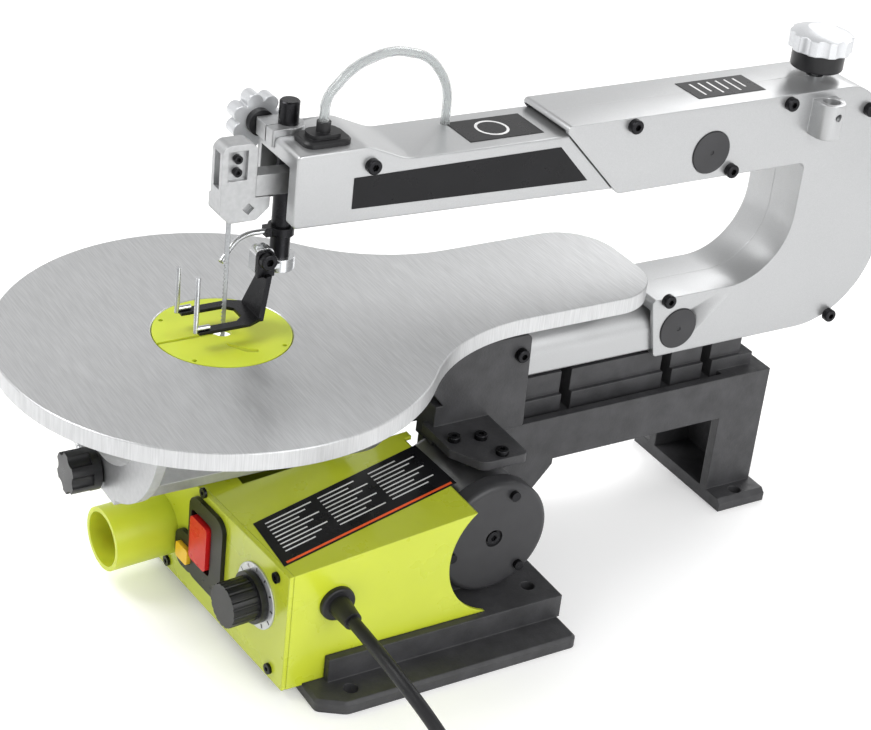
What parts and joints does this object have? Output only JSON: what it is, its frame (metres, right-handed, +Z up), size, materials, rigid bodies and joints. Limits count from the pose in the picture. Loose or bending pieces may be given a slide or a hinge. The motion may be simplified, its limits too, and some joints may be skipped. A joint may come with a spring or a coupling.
{
  "type": "scroll saw",
  "caption": "Bench scroll saw with C-shaped arm housing, parallel rocker arms, tilting round table, drop foot, blower hose, dust port and speed control.",
  "frame": {"origin": "centre of the bounding box at the bench surface", "axes": "+X to the operator's right, +Y away from the operator along the arm, +Z up"},
  "size_m": [0.5055, 0.6216, 0.3531],
  "materials": {
    "silver_paint": "satin silver paint on die casting",
    "table_alloy": "ground and brushed",
    "cast_alloy": "as cast",
    "lime_paint": "gloss lime paint on sheet steel",
    "lime_plastic": "moulded, satin",
    "dark_iron": "dark grey satin paint on casting",
    "dark_plastic": "moulded, fine grain",
    "black_plastic": "moulded",
    "silver_plastic": "silver lacquer",
    "motor_steel": "rolled",
    "black_rubber": "soft moulded",
    "clear_hose": "clear flexible tube",
    "black_steel": "blackened",
    "bright_steel": "bright plated",
    "blade_steel": "hardened spring steel",
    "bronze": "sintered bronze",
    "red_plastic": "moulded",
    "yellow_plastic": "moulded",
    "board_green": "circuit board"
  },
  "bodies": {
    "root": {"air_hose": "clear_hose", "arm_cradle": "dark_iron", "base": "dark_iron", "bellows": "black_rubber", "control_panel": "lime_paint", "cord_coil": "black_rubber", "cord_gland": "black_rubber", "cover_screws": "black_steel", "cradle_screws": "black_steel", "dial_plate": "silver_plastic", "dust_port": "lime_plastic", "frame_left": "silver_paint", "frame_right": "silver_paint", "housing_screws": "black_steel", "lower_front_housing": "silver_paint", "mains_cord": "black_rubber", "mains_plug": "black_rubber", "motor_body": "motor_steel", "motor_end_cover": "dark_plastic", "motor_housing": "lime_paint", "pivot_caps": "dark_plastic", "pivot_pins": "bright_steel", "post_guide": "cast_alloy", "speed_control": "board_green", "switch_bezel": "black_plastic", "table_support": "cast_alloy", "upper_front_housing": "silver_paint"},
    "upper_arm": {"upper_rocker_arm": "cast_alloy", "upper_pivot_bush": "bronze", "upper_blade_clamp": "cast_alloy", "blade_clamp_screws": "black_steel"},
    "lower_arm": {"lower_rocker_arm": "cast_alloy", "lower_pivot_bush": "bronze", "lower_blade_clamp": "cast_alloy", "wrist_pin": "bright_steel"},
    "blade": {"saw_blade": "blade_steel"},
    "tension_link": {"tension_rod": "bright_steel"},
    "tension_handle": {"tension_knob": "black_plastic", "tension_knob_cap": "silver_plastic"},
    "con_rod": {"connecting_rod": "cast_alloy"},
    "crank": {"crankshaft": "bright_steel", "motor_rotor": "motor_steel"},
    "table_body": {"table": "table_alloy", "table_insert": "lime_plastic", "trunnion_front": "cast_alloy", "trunnion_rear": "cast_alloy", "bevel_scale": "bright_steel"},
    "bevel_lock": {"bevel_lock_knob": "black_plastic"},
    "hold_down": {"hold_down_post": "black_steel", "blower_nozzle": "bright_steel", "nozzle_clip": "black_steel"},
    "foot": {"foot_clamp": "bright_steel", "foot_screws": "black_steel", "drop_foot": "black_steel", "finger_guards": "bright_steel"},
    "hold_down_lock": {"hold_down_screw": "black_plastic", "hold_down_knob": "silver_plastic"},
    "speed_dial": {"speed_knob": "black_plastic"},
    "switch": {"switch_paddle": "red_plastic"},
    "key": {"safety_key": "yellow_plastic"}
  },
  "joints": [
    {"name": "upper_arm_rock", "type": "hinge", "parent": "root", "child": "upper_arm", "pos_m": [-0.003, 0.14675, 0.269], "axis": [1, 0, 0], "range_deg": [-1.26, 1.26]},
    {"name": "lower_arm_rock", "type": "hinge", "parent": "root", "child": "lower_arm", "pos_m": [-0.003, 0.14475, 0.142], "axis": [1, 0, 0], "range_deg": [-1.3, 1.3]},
    {"name": "blade_stroke", "type": "slide", "parent": "root", "child": "blade", "axis": [0, 0, 1], "range_m": [-0.0076, 0.0076]},
    {"name": "tension_link_travel", "type": "slide", "parent": "root", "child": "tension_link", "axis": [0, 0, 1], "range_m": [-0.0026, 0.0026]},
    {"name": "tension_knob_turn", "type": "hinge", "parent": "tension_link", "child": "tension_handle", "pos_m": [-0.003, 0.24675, 0.313], "axis": [0, 0, 1], "range_deg": [-180, 180]},
    {"name": "con_rod_pivot", "type": "hinge", "parent": "lower_arm", "child": "con_rod", "pos_m": [-0.003, -0.03325, 0.142], "axis": [1, 0, 0], "range_deg": [-1.3, 1.3]},
    {"name": "crank_spin", "type": "hinge", "parent": "root", "child": "crank", "pos_m": [-0.003, -0.03325, 0.066], "axis": [1, 0, 0], "continuous": true},
    {"name": "table_tilt", "type": "hinge", "parent": "root", "child": "table_body", "pos_m": [-0.003, -0.17725, 0.188], "axis": [0, -1, 0], "range_deg": [0, 45]},
    {"name": "bevel_knob_turn", "type": "hinge", "parent": "root", "child": "bevel_lock", "pos_m": [-0.003, -0.25325, 0.113], "axis": [0, 1, 0], "range_deg": [-90, 90]},
    {"name": "hold_down_lift", "type": "slide", "parent": "root", "child": "hold_down", "axis": [0, 0, 1], "range_m": [-0.006, 0.006]},
    {"name": "foot_lift", "type": "slide", "parent": "hold_down", "child": "foot", "axis": [0, 0, 1], "range_m": [0, 0.0132]},
    {"name": "hold_down_knob_turn", "type": "hinge", "parent": "root", "child": "hold_down_lock", "pos_m": [-0.029, -0.14645, 0.305], "axis": [-1, 0, 0], "range_deg": [-90, 90]},
    {"name": "speed_turn", "type": "hinge", "parent": "root", "child": "speed_dial", "pos_m": [0.0741, -0.18384, 0.054], "axis": [0.0785, -0.9969, 0], "range_deg": [-150, 150]},
    {"name": "switch_rock", "type": "hinge", "parent": "root", "child": "switch", "pos_m": [0.01198, -0.18472, 0.053], "axis": [0.9969, 0.0785, 0], "range_deg": [0, 8]},
    {"name": "key_pull", "type": "slide", "parent": "root", "child": "key", "axis": [0.0785, -0.9969, 0], "range_m": [0, 0.012]}
  ],
  "couplings": [
    {"joint": "lower_arm_rock", "follows": "upper_arm_rock", "ratio": 1},
    {"joint": "blade_stroke", "follows": "upper_arm_rock", "m_per_rad": -0.324},
    {"joint": "tension_link_travel", "follows": "upper_arm_rock", "m_per_rad": 0.1},
    {"joint": "con_rod_pivot", "follows": "upper_arm_rock", "ratio": -1},
    {"joint": "foot_lift", "follows": "table_tilt", "m_per_rad": 0.0166}
  ]
}
